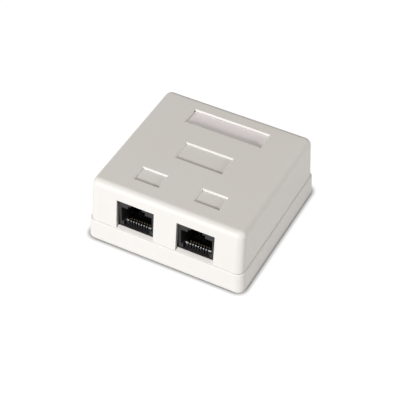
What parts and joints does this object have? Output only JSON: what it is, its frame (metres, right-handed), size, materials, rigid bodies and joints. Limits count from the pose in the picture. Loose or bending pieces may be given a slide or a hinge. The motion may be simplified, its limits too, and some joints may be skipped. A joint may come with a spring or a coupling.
{
  "type": "surface mount jack box",
  "caption": "Low square plastic wall box with a clip-on cover, modular sockets in its front edge and a clear label window in its top, for ending data cables.",
  "frame": {"origin": "centre of the flat underside of the base", "axes": "+Z points out of the wall, away from the underside; -Y is the edge with the sockets; +X is to the right when facing the sockets"},
  "size_m": [0.0612, 0.0604, 0.026],
  "materials": {
    "case_plastic": "satin white ABS, lightly textured",
    "window_plastic": "clear polystyrene label window",
    "card": "plain off-white label card",
    "board": "green solder mask over glass-epoxy laminate",
    "jack_plastic": "black moulded thermoplastic, satin",
    "carrier_plastic": "black moulded contact insert with polished comb edge",
    "contact_metal": "gold-plated phosphor bronze wire",
    "block_plastic": "natural polycarbonate punch-down block",
    "terminal_metal": "tin-plated bronze blade",
    "screw_metal": "zinc-plated steel"
  },
  "bodies": {
    "base_unit": {"base": "case_plastic", "circuit_board": "board", "front_board_screw": "screw_metal", "rear_board_screw": "screw_metal", "left_jack_housing": "jack_plastic", "left_contact_carrier": "carrier_plastic", "left_contact_1": "contact_metal", "left_contact_2": "contact_metal", "left_contact_3": "contact_metal", "left_contact_4": "contact_metal", "left_contact_5": "contact_metal", "left_contact_6": "contact_metal", "left_contact_7": "contact_metal", "left_contact_8": "contact_metal", "left_punchdown_block": "block_plastic", "left_terminal_1": "terminal_metal", "left_terminal_2": "terminal_metal", "left_terminal_3": "terminal_metal", "left_terminal_4": "terminal_metal", "left_terminal_5": "terminal_metal", "left_terminal_6": "terminal_metal", "left_terminal_7": "terminal_metal", "left_terminal_8": "terminal_metal", "right_jack_housing": "jack_plastic", "right_contact_carrier": "carrier_plastic", "right_contact_1": "contact_metal", "right_contact_2": "contact_metal", "right_contact_3": "contact_metal", "right_contact_4": "contact_metal", "right_contact_5": "contact_metal", "right_contact_6": "contact_metal", "right_contact_7": "contact_metal", "right_contact_8": "contact_metal", "right_punchdown_block": "block_plastic", "right_terminal_1": "terminal_metal", "right_terminal_2": "terminal_metal", "right_terminal_3": "terminal_metal", "right_terminal_4": "terminal_metal", "right_terminal_5": "terminal_metal", "right_terminal_6": "terminal_metal", "right_terminal_7": "terminal_metal", "right_terminal_8": "terminal_metal"},
    "cover_unit": {"cover": "case_plastic", "label_card": "card"},
    "window": {"label_window": "window_plastic"}
  },
  "joints": [
    {"name": "cover_lift", "type": "slide", "parent": "base_unit", "child": "cover_unit", "axis": [0, 0, 1], "range_m": [0, 0.022]},
    {"name": "window_lift", "type": "slide", "parent": "cover_unit", "child": "window", "axis": [0, 0, 1], "range_m": [0, 0.006]}
  ]
}
